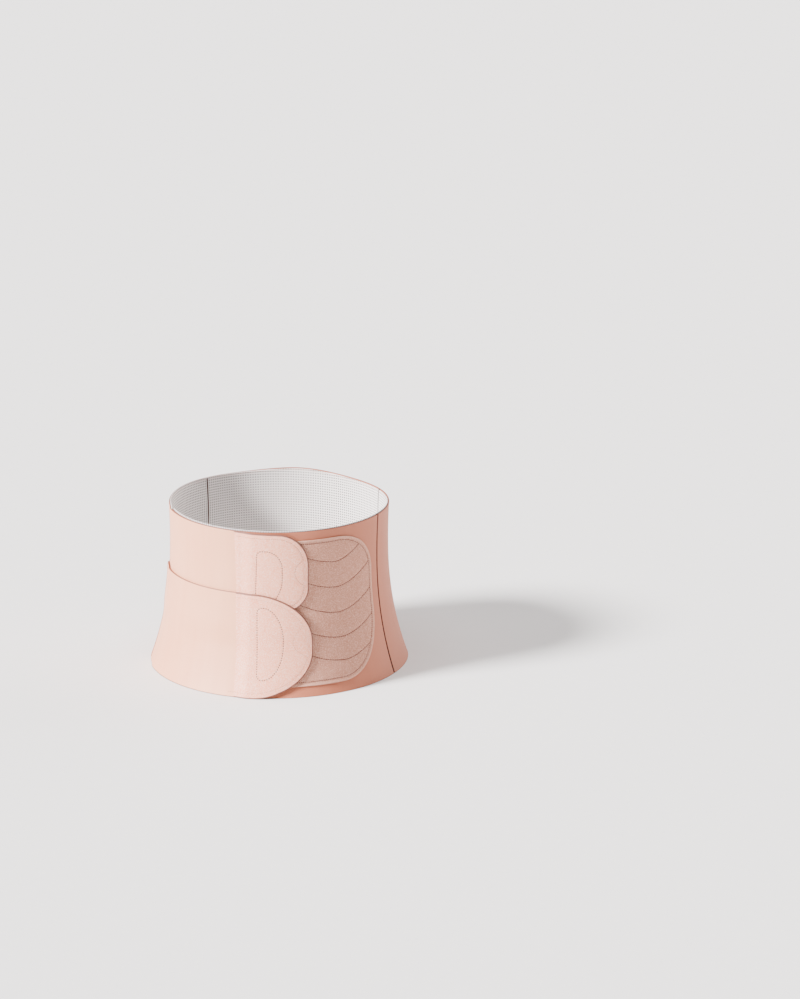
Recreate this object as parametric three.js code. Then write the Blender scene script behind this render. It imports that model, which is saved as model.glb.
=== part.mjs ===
import * as THREE from 'three';

// A wrap-round abdominal binder, closed round an empty waist and standing on its hem.
// Millimetres and degrees, +Z up. The front faces -Y. Angles run counter-clockwise seen
// from above: 0 is the wearer's left side (+X), 90 the middle of the back, -90 the middle
// of the front. Offsets are measured outward from the outer face of the body wall.

// Overall form
const HEIGHT = 210;
const BACK_RISE = 5;
const BACK_RISE_SPREAD = 23;
const WAIST_HALF_WIDTH = 140;
const WAIST_BELOW_RIM = 50;
const HEM_FLARE = 26;
const RIM_FLARE = 1.4;
const FLARE_CURVE = 2.2;
const HEM_FRONT_DEPTH = 181.5;
const RIM_FRONT_DEPTH = 147;
const HEM_BACK_DEPTH = 165;
const RIM_BACK_DEPTH = 130;

// Fabric thicknesses, the clearance beside and behind each piece, and the one under
// a layer that lies on another
const FABRIC = 1.4;
const LINING = 1.0;
const PLUSH_END = 2.0;
const LOOP_PAD = 1.0;
const HOOK_PAD = 0.8;
const GAP = 0.3;
const LAY = 0.5;

// Edges: how far the lining shows above the outer fabric in front, how far it stops
// short of it behind, and how far it and the seams are held up from the hem
const LINING_SHOWS = 1.5;
const LINING_DROP = 1.2;
const LINING_HEM = 1.5;

// Seams between the panels
const SEAM_WIDTH = 1.4;
const SEAM_RIGHT_FRONT = -14.5;
const SEAM_RIGHT_BACK = 34;
const SEAM_LEFT_BACK = 144.3;
const SEAM_LEFT_FRONT = 194.5;

// The wing under the tabs: its free end, and the length over which the tabs climb onto it
const UNDERLAP_END = -152;
const CLIMB = 18;

// The two closing tabs
const LOWER_TAB_HIGH = 129.5;
const TAB_OVERLAP = 25;
const OVERLAP_RISE = 32;
const PLUSH_JOINT_RIM = -100.5;
const PLUSH_JOINT_HEM = -96.5;
const LEAN_SPREAD = 24;
const UPPER_TIP = -62;
const UPPER_TIP_DROP = 2.5;
const UPPER_CORNER_LENGTH = 38;
const UPPER_CORNER_TOP = 42;
const UPPER_CORNER_BOTTOM = 31;
const LOWER_TIP = -60.7;
const LOWER_CORNER_LENGTH = 74;
const LOWER_CORNER_TOP = 61;
const LOWER_CORNER_BOTTOM = 59;

// Loop pad on the underlap
const PAD_LEFT = -90;
const PAD_RIGHT = -21.3;
const PAD_TOP_MARGIN = 12.5;
const PAD_BOTTOM_MARGIN = 13;
const PAD_CORNER_LENGTH = 61;
const PAD_CORNER_TOP = 55;
const PAD_CORNER_BOTTOM = 80;

// Hook pads inside the tab ends
const HOOK_WIDTH = 33;
const HOOK_SETBACK = 36;
const HOOK_EDGE_MARGIN = 20;
const HOOK_CORNER_LENGTH = 22;
const HOOK_CORNER_HEIGHT = 29;
const HIDDEN_CORNER = 6;

// Fineness of the faceted surfaces
const COLUMN_STEP = 5;
const BODY_ROWS = 12;
const TAB_ROWS = 8;
const UPPER_TAB_ROWS = 7;
const HOOK_ROWS = 6;
const PAD_ROWS = 10;
const CORNER_STEP = 7;

const { lerp, smoothstep, clamp } = THREE.MathUtils;
const RADIANS = Math.PI / 180;
const DEGREES_PER_MM = 1 / (WAIST_HALF_WIDTH * RADIANS);
const UPPER_TAB_LOW = LOWER_TAB_HIGH - TAB_OVERLAP;
const WAIST_HEIGHT = HEIGHT - WAIST_BELOW_RIM;
const TURN = 360;
const BACK = 90;
const FRONT = -90;

// Colour, roughness and metalness of each finish
const FINISHES = {
  fabric: [0xdfb6a6, 0.75],
  tab: [0xecd0c4, 0.75],
  plush: [0xe6c8bc, 0.95],
  loop: [0xc4a091, 0.97],
  lining: [0xdcd8d8, 0.9],
  hook: [0xcdb4a6, 0.8],
  seam: [0x6a4a40, 0.9],
};

function finish(name) {
  const [color, roughness] = FINISHES[name];
  return new THREE.MeshStandardMaterial({ color, roughness, metalness: 0 });
}

// Half-width of the wall at a height: narrowest at the waist, flaring to hem and rim
function halfWidth(height) {
  const below = Math.max(0, (WAIST_HEIGHT - height) / WAIST_HEIGHT);
  const above = Math.max(0, (height - WAIST_HEIGHT) / WAIST_BELOW_RIM);
  return WAIST_HALF_WIDTH + HEM_FLARE * below ** FLARE_CURVE + RIM_FLARE * above ** 2;
}

// Depth of the wall at a height, in front of the sides or behind them
function depth(height, behind) {
  const hem = (behind ? HEM_BACK_DEPTH : HEM_FRONT_DEPTH) / halfWidth(0);
  const rim = (behind ? RIM_BACK_DEPTH : RIM_FRONT_DEPTH) / halfWidth(HEIGHT);
  return halfWidth(height) * lerp(hem, rim, height / HEIGHT);
}

// A point of the wall, moved outward by an offset along the section's own normal
function wallPoint(angle, height, offset) {
  const cos = Math.cos(angle * RADIANS);
  const sin = Math.sin(angle * RADIANS);
  const a = halfWidth(height);
  const b = depth(height, sin > 0);
  const length = Math.hypot(cos / a, sin / b);
  return [
    a * cos + (offset * cos) / a / length,
    b * sin + (offset * sin) / b / length,
    height,
  ];
}

// The shorter way round from one angle to another, negative when it runs clockwise
function turnBetween(from, to) {
  return ((to - from + 1.5 * TURN) % TURN) - TURN / 2;
}

// Height of the rim, raised round the middle of the back
function rimHeight(angle) {
  const away = turnBetween(BACK, angle) / BACK_RISE_SPREAD;
  return HEIGHT + BACK_RISE * Math.exp(-away * away);
}

// 1 along the front of the rim, 0 along the back, with a smooth change over the sides
function frontness(angle) {
  const fromFront = Math.abs(turnBetween(FRONT, angle));
  return 1 - smoothstep(fromFront, SEAM_RIGHT_FRONT - FRONT, SEAM_RIGHT_BACK - FRONT);
}

const fabricTop = (angle) => rimHeight(angle) - LINING_SHOWS * frontness(angle);
const liningTop = (angle) => rimHeight(angle) - LINING_DROP * (1 - frontness(angle));

// The joint between a tab's smooth part and its plush end leans: it lies further round
// at the hem. Its neighbourhood turns with it, less and less with distance
function jointLean(angle, height) {
  const lean = (PLUSH_JOINT_HEM - PLUSH_JOINT_RIM) * (1 - height / HEIGHT);
  const distance = Math.abs(angle - PLUSH_JOINT_RIM);
  return lean * Math.max(0, 1 - distance / LEAN_SPREAD);
}

// Where the tabs climb onto a layer that ends at this angle: the four angles of the slope
function climbAngles(end) {
  const foot = end - CLIMB * DEGREES_PER_MM;
  const head = end - 3 * GAP * DEGREES_PER_MM;
  return [0, 1, 2, 3].map((k) => lerp(foot, head, k / 3));
}

const UNDERLAP_CLIMB = climbAngles(UNDERLAP_END);
const PAD_CLIMB = climbAngles(PAD_LEFT);

// Inner face of the tabs: level with the wall at the seam, then over the underlap,
// then over the loop pad and the hook pads
function tabInner(angle) {
  const onUnderlap = smoothstep(angle, UNDERLAP_CLIMB[0], UNDERLAP_CLIMB[3]);
  const onPads = smoothstep(angle, PAD_CLIMB[0], PAD_CLIMB[3]);
  return -FABRIC + (FABRIC + LAY) * onUnderlap + (LOOP_PAD + HOOK_PAD + 2 * LAY) * onPads;
}

// The lower tab's top edge lies over the upper tab: it rises to it over a length that
// ends one row of facets below the upper tab
function lowerTabInner(angle, height) {
  const risen = UPPER_TAB_LOW - LOWER_TAB_HIGH / TAB_ROWS;
  const over = smoothstep(height, risen - OVERLAP_RISE, risen);
  return tabInner(angle) + (PLUSH_END + LAY) * over;
}

// Angles from one side to the other: common steps, so that layers have parallel facets,
// and any stations that a layer's slope needs
function columnAngles(from, to, stations = []) {
  const fixed = [from, ...stations.filter((angle) => angle > from && angle < to), to];
  const clear = (angle) => fixed.every((other) => Math.abs(other - angle) > 0.3 * COLUMN_STEP);
  const first = Math.ceil(from / COLUMN_STEP);
  const count = Math.floor(to / COLUMN_STEP) - first + 1;
  const steps = Array.from({ length: count }, (_, k) => (first + k) * COLUMN_STEP);
  return [...fixed, ...steps.filter(clear)].sort((a, b) => a - b);
}

// A closed sheet bent round the wall. Each column has its own side angle, foot and top;
// inner and outer give the offsets of its two faces
function sheet(name, finishName, { columns, rows, foot, top, inner, outer, shift = () => 0 }) {
  const positions = [];
  const indices = [];
  const stride = rows + 1;
  const layer = columns.length * stride;
  for (const offset of [outer, inner]) {
    for (const angle of columns) {
      for (let r = 0; r <= rows; r += 1) {
        const height = lerp(foot(angle), top(angle), r / rows);
        const turned = angle + shift(angle, height);
        positions.push(...wallPoint(turned, height, offset(turned, height)));
      }
    }
  }
  const quad = (a, b, c, d) => indices.push(a, b, c, a, c, d);
  for (let c = 0; c + 1 < columns.length; c += 1) {
    for (let r = 0; r < rows; r += 1) {
      const at = c * stride + r;
      quad(at, at + stride, at + stride + 1, at + 1);
      quad(layer + at, layer + at + 1, layer + at + stride + 1, layer + at + stride);
    }
    const low = c * stride;
    const high = low + rows;
    quad(low, layer + low, layer + low + stride, low + stride);
    quad(high, high + stride, layer + high + stride, layer + high);
  }
  const last = (columns.length - 1) * stride;
  for (let r = 0; r < rows; r += 1) {
    quad(r, r + 1, layer + r + 1, layer + r);
    quad(last + r, layer + last + r, layer + last + r + 1, last + r + 1);
  }
  const geometry = new THREE.BufferGeometry();
  geometry.setAttribute('position', new THREE.Float32BufferAttribute(positions, 3));
  geometry.setIndex(indices);
  geometry.computeVertexNormals();
  const mesh = new THREE.Mesh(geometry, finish(finishName));
  mesh.name = name;
  return mesh;
}

// How much a rounded corner takes off a patch's height, this far from the patch's end
function cornerCut(distance, length, height) {
  const u = clamp(1 - distance / length, 0, 1);
  return height * (1 - Math.sqrt(1 - u * u));
}

// Columns of a patch: even along its middle, closer together round its corners
function patchColumns(left, right, leftCorner, rightCorner, stations) {
  const start = left + leftCorner * DEGREES_PER_MM;
  const end = right - rightCorner * DEGREES_PER_MM;
  const columns = columnAngles(start, end, stations);
  const round = (from, to, length) => {
    const count = length > 0 ? Math.ceil(length / CORNER_STEP) + 1 : 0;
    const step = (k) => lerp(from, to, Math.sin(((k + 1) / count) * Math.PI / 2));
    return Array.from({ length: count }, (_, k) => step(k));
  };
  return [
    ...round(start, left, leftCorner).reverse(),
    ...columns,
    ...round(end, right, rightCorner),
  ];
}

// A patch with rounded ends: foot and top are heights, corners are lengths and heights
function patch(name, finishName, spec) {
  const { left, right, foot, top, rows, inner, outer, shift, stations } = spec;
  const { leftCorner = 0, rightCorner, cornerTop, cornerBottom } = spec;
  const room = 0.48 * (top(right) - foot);
  const cut = (angle, height) => {
    const fromRight = (right - angle) / DEGREES_PER_MM;
    const fromLeft = (angle - left) / DEGREES_PER_MM;
    const hidden = leftCorner > 0 ? cornerCut(fromLeft, leftCorner, leftCorner) : 0;
    return cornerCut(fromRight, rightCorner, Math.min(height, room)) + hidden;
  };
  return sheet(name, finishName, {
    columns: patchColumns(left, right, leftCorner, rightCorner, stations),
    rows,
    foot: (angle) => foot + cut(angle, cornerBottom),
    top: (angle) => top(angle) - cut(angle, cornerTop),
    inner,
    outer,
    shift,
  });
}

// A wall panel between two seams, or its lining
function wallPanel(name, finishName, from, to, { foot = 0, top, inner, outer, stations }) {
  const columns = columnAngles(from, to, stations);
  return sheet(name, finishName, { columns, rows: BODY_ROWS, foot: () => foot, top, inner, outer });
}

const seamHalf = (SEAM_WIDTH / 2) * DEGREES_PER_MM;
const seamClear = (SEAM_WIDTH / 2 + GAP) * DEGREES_PER_MM;
const liningOuter = -FABRIC - GAP;
const liningInner = liningOuter - LINING;

const fabricLayer = { top: fabricTop, inner: () => -FABRIC, outer: () => 0 };
const liningLayer = {
  foot: LINING_HEM,
  top: liningTop,
  inner: () => liningInner,
  outer: () => liningOuter,
};

// The body wall: outer fabric and lining of the back, the two sides and the underlap
function bodyWall() {
  const spans = [
    ['back', SEAM_RIGHT_BACK, SEAM_LEFT_BACK],
    ['side_right', SEAM_RIGHT_FRONT, SEAM_RIGHT_BACK],
    ['side_left', SEAM_LEFT_BACK, SEAM_LEFT_FRONT],
  ];
  const meshes = [];
  for (const [name, from, to] of spans) {
    const ends = [from + seamClear, to - seamClear];
    meshes.push(wallPanel(`${name}_panel`, 'fabric', ...ends, fabricLayer));
    meshes.push(wallPanel(`${name}_lining`, 'lining', ...ends, liningLayer));
  }
  const ends = [UNDERLAP_END, SEAM_RIGHT_FRONT - seamClear];
  meshes.push(wallPanel('underlap_panel', 'fabric', ...ends, fabricLayer));
  meshes.push(wallPanel('underlap_lining', 'lining', ...ends, liningLayer));
  return meshes;
}

// The lining of the tabs, from the left seam to the underlap's free end
function wingLining() {
  const from = SEAM_LEFT_FRONT - TURN + seamClear;
  const to = UNDERLAP_CLIMB[3];
  return wallPanel('wing_lining', 'lining', from, to, {
    stations: UNDERLAP_CLIMB,
    foot: LINING_HEM,
    top: liningTop,
    inner: (angle) => tabInner(angle) - GAP - LINING,
    outer: (angle) => tabInner(angle) - GAP,
  });
}

// The dark strips at the four seams, through the whole wall
function seamStrips() {
  const seams = [
    ['seam_right_front', SEAM_RIGHT_FRONT],
    ['seam_right_back', SEAM_RIGHT_BACK],
    ['seam_left_back', SEAM_LEFT_BACK],
    ['seam_left_front', SEAM_LEFT_FRONT],
  ];
  return seams.map(([name, angle]) => sheet(name, 'seam', {
    columns: [angle - seamHalf, angle + seamHalf],
    rows: BODY_ROWS,
    foot: () => LINING_HEM,
    top: fabricTop,
    inner: () => liningInner,
    outer: () => 0,
  }));
}

// The smooth stretch parts of the two tabs, from the left seam to the plush joint
function tabs() {
  const from = SEAM_LEFT_FRONT - TURN + seamClear;
  const to = PLUSH_JOINT_RIM;
  const columns = columnAngles(from, to, UNDERLAP_CLIMB);
  return [
    sheet('upper_tab', 'tab', {
      columns,
      rows: UPPER_TAB_ROWS,
      foot: () => UPPER_TAB_LOW,
      top: fabricTop,
      inner: tabInner,
      outer: (angle) => tabInner(angle) + FABRIC,
      shift: jointLean,
    }),
    sheet('lower_tab', 'tab', {
      columns,
      rows: TAB_ROWS,
      foot: () => 0,
      top: () => LOWER_TAB_HIGH,
      inner: lowerTabInner,
      outer: (angle, height) => lowerTabInner(angle, height) + FABRIC,
      shift: jointLean,
    }),
  ];
}

// The plush ends of the tabs, with their rounded tips
function tabEnds() {
  const left = PLUSH_JOINT_RIM + GAP * DEGREES_PER_MM;
  const upperTop = (angle) => {
    const along = (angle - left) / (UPPER_TIP - left);
    return fabricTop(angle) - UPPER_TIP_DROP * along;
  };
  return [
    patch('upper_tab_end', 'plush', {
      left,
      right: UPPER_TIP,
      foot: UPPER_TAB_LOW,
      top: upperTop,
      rows: UPPER_TAB_ROWS,
      rightCorner: UPPER_CORNER_LENGTH,
      cornerTop: UPPER_CORNER_TOP,
      cornerBottom: UPPER_CORNER_BOTTOM,
      inner: tabInner,
      outer: (angle) => tabInner(angle) + PLUSH_END,
      shift: jointLean,
      stations: PAD_CLIMB,
    }),
    patch('lower_tab_end', 'plush', {
      left,
      right: LOWER_TIP,
      foot: 0,
      top: () => LOWER_TAB_HIGH,
      rows: TAB_ROWS,
      rightCorner: LOWER_CORNER_LENGTH,
      cornerTop: LOWER_CORNER_TOP,
      cornerBottom: LOWER_CORNER_BOTTOM,
      inner: lowerTabInner,
      outer: (angle, height) => lowerTabInner(angle, height) + PLUSH_END,
      shift: jointLean,
      stations: PAD_CLIMB,
    }),
  ];
}

// The plush loop pad sewn to the underlap
function loopPad() {
  return patch('loop_pad', 'loop', {
    left: PAD_LEFT,
    right: PAD_RIGHT,
    foot: PAD_BOTTOM_MARGIN,
    top: () => HEIGHT - PAD_TOP_MARGIN,
    rows: PAD_ROWS,
    leftCorner: HIDDEN_CORNER,
    rightCorner: PAD_CORNER_LENGTH,
    cornerTop: PAD_CORNER_TOP,
    cornerBottom: PAD_CORNER_BOTTOM,
    inner: () => LAY,
    outer: () => LAY + LOOP_PAD,
  });
}

// The two hook pads, each set back from its tab's tip and edges
function hookPads() {
  const inner = 2 * LAY + LOOP_PAD;
  const tabs = [
    ['upper_hook_pad', UPPER_TIP, UPPER_TAB_LOW, HEIGHT - LINING_SHOWS - UPPER_TIP_DROP],
    ['lower_hook_pad', LOWER_TIP, 0, LOWER_TAB_HIGH],
  ];
  return tabs.map(([name, tip, low, high]) => {
    const right = tip - HOOK_SETBACK * DEGREES_PER_MM;
    return patch(name, 'hook', {
      left: right - HOOK_WIDTH * DEGREES_PER_MM,
      right,
      foot: low + HOOK_EDGE_MARGIN,
      top: () => high - HOOK_EDGE_MARGIN,
      rows: HOOK_ROWS,
      leftCorner: HIDDEN_CORNER,
      rightCorner: HOOK_CORNER_LENGTH,
      cornerTop: HOOK_CORNER_HEIGHT,
      cornerBottom: HOOK_CORNER_HEIGHT,
      inner: () => inner,
      outer: () => inner + HOOK_PAD,
    });
  });
}

const binder = new THREE.Group();
binder.add(...bodyWall(), wingLining(), ...seamStrips(), ...tabs(), ...tabEnds());
binder.add(loopPad(), ...hookPads());

// The origin is on the floor, under the middle of the binder's outline seen from above
const middle = new THREE.Box3().setFromObject(binder).getCenter(new THREE.Vector3());
binder.position.set(-middle.x, -middle.y, 0);

export default binder;
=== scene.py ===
import math

import bpy
import numpy as np
from mathutils import Matrix, Vector


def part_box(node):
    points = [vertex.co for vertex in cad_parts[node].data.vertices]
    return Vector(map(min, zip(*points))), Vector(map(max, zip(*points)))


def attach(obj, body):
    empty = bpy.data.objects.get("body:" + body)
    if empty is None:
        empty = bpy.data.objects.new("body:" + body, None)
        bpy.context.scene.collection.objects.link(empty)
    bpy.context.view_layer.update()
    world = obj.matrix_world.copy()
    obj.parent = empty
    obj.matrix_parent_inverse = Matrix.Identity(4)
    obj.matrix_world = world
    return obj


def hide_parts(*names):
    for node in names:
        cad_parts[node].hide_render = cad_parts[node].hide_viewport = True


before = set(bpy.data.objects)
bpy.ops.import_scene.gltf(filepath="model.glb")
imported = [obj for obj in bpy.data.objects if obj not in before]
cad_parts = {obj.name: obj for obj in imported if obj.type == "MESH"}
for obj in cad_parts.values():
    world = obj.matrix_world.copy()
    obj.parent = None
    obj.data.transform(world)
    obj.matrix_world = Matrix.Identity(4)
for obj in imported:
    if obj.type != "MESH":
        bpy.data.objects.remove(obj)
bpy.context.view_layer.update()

# Lengths are metres and angles degrees. Angles run counter-clockwise seen from above:
# 0 is +X, 90 the middle of the back, -90 the middle of the front.
MM = 0.001

# Overall form of the binder
HEIGHT = 210 * MM
BACK_RISE = 5 * MM
BACK_RISE_SPREAD = 23
WAIST_HALF_WIDTH = 140 * MM
WAIST_BELOW_RIM = 50 * MM
HEM_FLARE = 26 * MM
RIM_FLARE = 1.4 * MM
FLARE_CURVE = 2.2
HEM_FRONT_DEPTH = 181.5 * MM
RIM_FRONT_DEPTH = 147 * MM
HEM_BACK_DEPTH = 165 * MM
RIM_BACK_DEPTH = 130 * MM
WAIST_HEIGHT = HEIGHT - WAIST_BELOW_RIM
TURN = 360
FRONT = -90
BACK = 90

# Thicknesses and clearances
FABRIC = 1.4 * MM
LINING = 1.0 * MM
PLUSH_END = 2.0 * MM
LOOP_PAD = 1.0 * MM
HOOK_PAD = 0.8 * MM
GAP = 0.3 * MM
LAY = 0.5 * MM
INNER_FACE = -FABRIC - GAP - LINING

# The lining stands over the outer fabric in front and lies below it behind, but comes
# up by this share of the drop between two angles at the left of the back
LINING_SHOWS = 1.2 * MM
LINING_DROP = 1.2 * MM
LINING_LEVEL = dict(share=0.8, start=BACK + 12, end=BACK + 36)
LINING_HEM = 1.5 * MM

# Seams
SEAM_WIDTH = 1.4 * MM
SEAM_COLUMNS = 9
SEAM_HEM = 0.4 * MM
SEAM_THREADS = dict(above_hem=1.2 * MM, below_rim=1.0 * MM, proud=0.05 * MM, turn=52)
RIDGE_END = 2 * MM
SEAMS = {
    "seam_right_front": -14.5,
    "seam_right_back": 34,
    "seam_left_back": 144.3,
    "seam_left_front": 194.5,
}

# Underlap and tabs. Over the upper tab the lower one rises within a height that ends an
# eighth of its own height below the upper tab's edge.
UNDERLAP_END = -152
CLIMB = 18 * MM
LOWER_TAB_HIGH = 129.5 * MM
UPPER_TAB_LOW = 104.5 * MM
OVERLAP_RISE = 32 * MM
PLUSH_JOINT_RIM = -100.5
PLUSH_JOINT_HEM = -96.5
LEAN_SPREAD = 24
UPPER_TIP = -62
UPPER_TIP_DROP = 2.5 * MM
UPPER_CORNER = dict(length=38 * MM, top=42 * MM, bottom=31 * MM)
LOWER_TIP = -60.7
LOWER_CORNER = dict(length=74 * MM, top=61 * MM, bottom=59 * MM)
TAB_ROW = LOWER_TAB_HIGH / 8
TAB_CURL = 0.5 * MM
TAB_CURL_WIDTH = 9 * MM
LAID_OVER_FLATTER = 0.8

# Loop pad with its border stitch and five curved channels
PAD_LEFT = -90
PAD_RIGHT = -21.3
PAD_TOP = HEIGHT - 12.5 * MM
PAD_BOTTOM = 13 * MM
PAD_CORNER = dict(length=61 * MM, top=55 * MM, bottom=80 * MM)
PAD_BORDER = 5.2 * MM
PAD_FUZZ = 3.4 * MM
PAD_PUFF = 0.35 * MM
PAD_PUFF_REACH = 8 * MM
PAD_EDGE = 1.0 * MM
CHANNELS = 5
CHANNEL_LOWEST = 38.5 * MM
CHANNEL_HIGHEST = 165 * MM
CHANNEL_SPREAD = 1.07
CHANNEL_DIP = -43.5
CHANNEL_DIP_TOP = -46.5
CHANNEL_LEFT = dict(reach=16, rise=9 * MM, power=1.8, limit=1.6)
CHANNEL_RIGHT = dict(reach=22, rise=20 * MM, power=1.6)
CHANNEL_TOP_STEEPER = 10 * MM
CHANNEL_TOP_POWER = 4
CHANNEL_ENDS = dict(left=3, right=0.5)

# D-shaped stitch lines round the hook pads, and the finger pull at each tip
UPPER_D = dict(left=-88.1, right=-75.4, foot=117 * MM, top=185 * MM, lean=-0.7)
UPPER_D_CORNER = dict(length=20 * MM, top=24 * MM, bottom=32 * MM)
LOWER_D = dict(left=-87.6, right=-74.8, foot=22.5 * MM, top=112.5 * MM, lean=0.9)
LOWER_D_CORNER = dict(length=25 * MM, top=44 * MM, bottom=44 * MM)
HOOK_WIDTH = 33 * MM
HOOK_SETBACK = 36 * MM
HOOK_EDGE_MARGIN = 20 * MM
HOOK_BITE = 0.1 * MM
HOOK_CORNER = dict(length=22 * MM, top=29 * MM, bottom=29 * MM)
HIDDEN_CORNER = 6 * MM
TAB_BORDER = 6.2 * MM
TAB_LIP = dict(width=2.4 * MM, rise=0.22 * MM)
TAB_EDGE = 1.3 * MM
PLUSH_RISE = 7 * MM
PULL_ROUNDNESS = 0.7
PULL_START = 1
UPPER_PULL = dict(height=157 * MM, half=16.5 * MM, reach=11 * MM, groove=0.15 * MM)
LOWER_PULL = dict(height=70 * MM, half=22 * MM, reach=17 * MM, groove=0.07 * MM)

# Stitches: pitch along the line, length and radius of each thread
BORDER_STITCH = dict(pitch=2.6 * MM, length=1.9 * MM, radius=0.36 * MM)
CHANNEL_STITCH = dict(pitch=3.2 * MM, length=2.9 * MM, radius=0.36 * MM)
D_STITCH = dict(pitch=3.1 * MM, length=1.7 * MM, radius=0.58 * MM)
PULL_STITCH = dict(pitch=2.4 * MM, length=1.5 * MM, radius=0.26 * MM)
RIM_STITCH = dict(pitch=2.8 * MM, length=1.7 * MM, radius=0.25 * MM)
SEAM_STITCH = dict(pitch=2.0 * MM, length=2.6 * MM, radius=0.3 * MM)
INSIDE_STITCH = dict(SEAM_STITCH, radius=1.5 * SEAM_STITCH["radius"])
RIM_STITCH_PLACE = dict(below_rim=1.6 * MM, proud=0.02 * MM, from_seam=2)
STITCH_SUNK = 0.12 * MM
PULL_STITCH_SUNK = 0.1 * MM
GROOVE_WIDTH = 1.1 * MM
D_GROOVE = 0.2 * MM
CHANNEL_GROOVE = 0.35 * MM

# A thread's section has six sides. It is a little flat, and closed by its end rings.
THREAD_SIDES = 6
THREAD_RINGS = 5
THREAD_FLATNESS = 0.8
THREAD_END_TURN = 0.12

# Fineness of the surfaces
PANEL_STEP = 2.4 * MM
TAB_STEP = PANEL_STEP / 1.5
WING_STEP = PANEL_STEP / 2
PAD_STEP = 0.9 * MM
EDGE_STEPS = np.array([0, 0.1, 0.25, 0.45, 0.75, 1.2, 1.8, 2.6]) * MM
CORNER_FINENESS = 1.5
SIDE_POINTS = 40
SEAM_POINTS = 200
CHANNEL_POINTS = 400
RIM_POINTS = 600
BLOCK_POINTS = 6000
SMALL_TURN = 0.01
SMALL_RISE = 1e-5
TOO_SHORT = 1e-9

# Floor and sky
FLOOR_REACH = 40.0
SKY_STRENGTH = 0.14

# The photograph's camera, and its frame in pixels
CAMERA_PLACE = (1.5792, -6.9752, 2.3390)
CAMERA_TURN = 11.5
CAMERA_TILT = 16.563
CAMERA_ROLL = 0.144
FOCAL_PIXELS = 5822.9
FRAME_HEIGHT_PIXELS = 999
SENSOR = 36


# Form of the wall

def half_width(height):
    """Half-width at a height: the waist's, plus the hem's flare times a power of how far
    the height lies below the waist, plus the rim's flare times the square above it."""
    below = np.maximum(0, (WAIST_HEIGHT - height) / WAIST_HEIGHT)
    above = np.maximum(0, (height - WAIST_HEIGHT) / WAIST_BELOW_RIM)
    return WAIST_HALF_WIDTH + HEM_FLARE * below ** FLARE_CURVE + RIM_FLARE * above ** 2


def depth(height, behind):
    """Depth in front of or behind the sides: the half-width times a ratio that runs
    straight from hem to rim."""
    hem = np.where(behind, HEM_BACK_DEPTH, HEM_FRONT_DEPTH) / half_width(0)
    rim = np.where(behind, RIM_BACK_DEPTH, RIM_FRONT_DEPTH) / half_width(HEIGHT)
    return half_width(height) * (hem + (rim - hem) * height / HEIGHT)


# The middle of the wall's sections lies this far back from the frame's origin
MIDDLE_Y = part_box("back_panel")[1][1] - HEM_BACK_DEPTH


def wall(angle, height, offset=0.0):
    """A point on an ellipse of that height's half-width and depth, moved outward by the
    offset along the ellipse's own level normal."""
    angle, height, offset = np.broadcast_arrays(angle, height, offset)
    cos, sin = np.cos(np.radians(angle)), np.sin(np.radians(angle))
    a = half_width(height)
    b = depth(height, sin > 0)
    normal = np.hypot(cos / a, sin / b)
    x = a * cos + offset * cos / a / normal
    y = b * sin + offset * sin / b / normal + MIDDLE_Y
    return np.stack([x, y, height], -1)


def wall_normal(angle, height):
    """Unit normal: the cross product of the wall's two tangents, by small differences."""
    turn = wall(angle + SMALL_TURN, height) - wall(angle - SMALL_TURN, height)
    rise = wall(angle, height + SMALL_RISE) - wall(angle, height - SMALL_RISE)
    normal = np.cross(turn, rise)
    return normal / np.linalg.norm(normal, axis=-1, keepdims=True)


def smooth(x, low, high):
    """Smooth step from 0 at low to 1 at high."""
    t = np.clip((x - low) / (high - low), 0, 1)
    return t * t * (3 - 2 * t)


# Length along the waist from the middle of the front, tabled once by adding up chords
TABLE_ANGLES = np.arange(-200, 230, 0.25)
CHORDS = np.linalg.norm(np.diff(wall(TABLE_ANGLES, WAIST_HEIGHT), axis=0), axis=1)
LENGTHS = np.concatenate([[0], np.cumsum(CHORDS)])
LENGTHS -= np.interp(FRONT, TABLE_ANGLES, LENGTHS)
DEGREES_PER_M = 180 / math.pi / WAIST_HALF_WIDTH


def along(angle):
    """Length along the waist from the middle of the front to an angle."""
    return np.interp(angle, TABLE_ANGLES, LENGTHS)


def level(value):
    """A height or depth that is the same all along a piece."""
    return lambda angle, height=0.0: value + 0 * angle


def turn_between(start, end):
    """The shorter way round from one angle to another, negative when clockwise."""
    return (end - start + 1.5 * TURN) % TURN - TURN / 2


def rim_height(angle):
    """The rim: level, with a bell-shaped rise round the middle of the back."""
    away = turn_between(BACK, angle) / BACK_RISE_SPREAD
    return HEIGHT + BACK_RISE * np.exp(-away * away)


def frontness(angle):
    """1 along the front of the rim and 0 along the back, smooth over the sides."""
    from_front = np.abs(turn_between(FRONT, angle))
    front, back = SEAMS["seam_right_front"], SEAMS["seam_right_back"]
    return 1 - smooth(from_front, front - FRONT, back - FRONT)


def fabric_top(angle):
    """Top edge of the outer fabric: a little below the lining's in front."""
    return rim_height(angle) - LINING_SHOWS * frontness(angle)


def lining_top(angle):
    """Top edge of the lining: a little below the outer fabric's behind, but nearly level
    with it from the middle of the back round to the left."""
    risen = smooth((angle + TURN) % TURN, LINING_LEVEL["start"], LINING_LEVEL["end"])
    turned_in = 1 - LINING_LEVEL["share"] * risen
    return rim_height(angle) - LINING_DROP * (1 - frontness(angle)) * turned_in


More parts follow.
